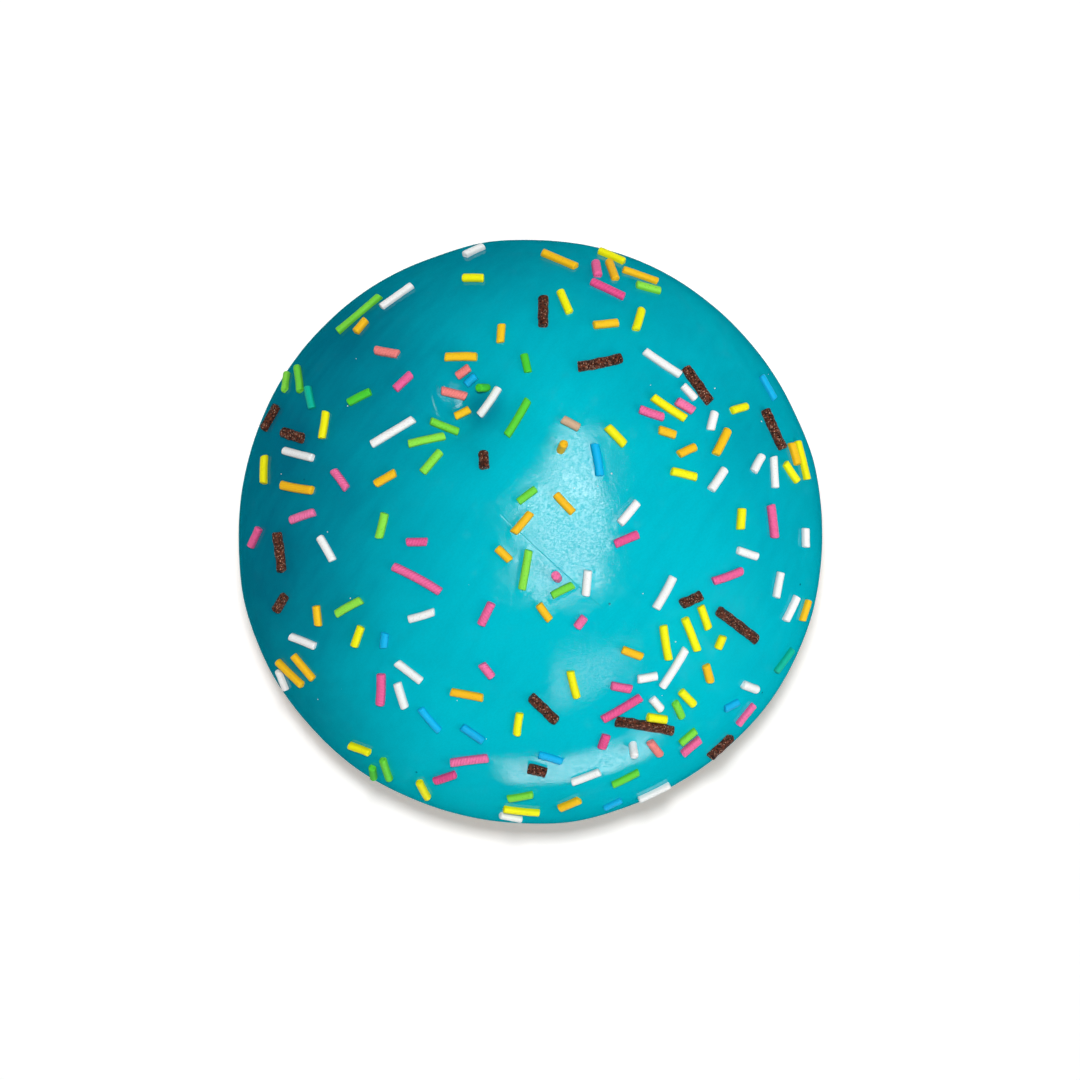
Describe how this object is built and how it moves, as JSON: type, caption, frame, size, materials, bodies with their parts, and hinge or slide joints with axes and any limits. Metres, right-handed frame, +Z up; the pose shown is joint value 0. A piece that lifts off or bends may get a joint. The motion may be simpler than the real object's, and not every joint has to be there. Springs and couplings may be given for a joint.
{
  "type": "iced filled doughnut",
  "caption": "Round hole-less doughnut: a fried bun with a small flat underside, coated over its upper half in turquoise icing and scattered with mixed sugar strands.",
  "frame": {"origin": "middle of the flat spot that the doughnut rests on", "axes": "+Z straight up through the iced top, +Y towards the top of the picture, +X to its right"},
  "size_m": [0.085, 0.0849, 0.0435],
  "materials": {
    "dough": "browned fried dough with a slight sheen of oil",
    "icing": "set turquoise sugar icing with a satin skin"
  },
  "bodies": {
    "root": {"bun": "dough", "icing": "icing"}
  },
  "joints": []
}
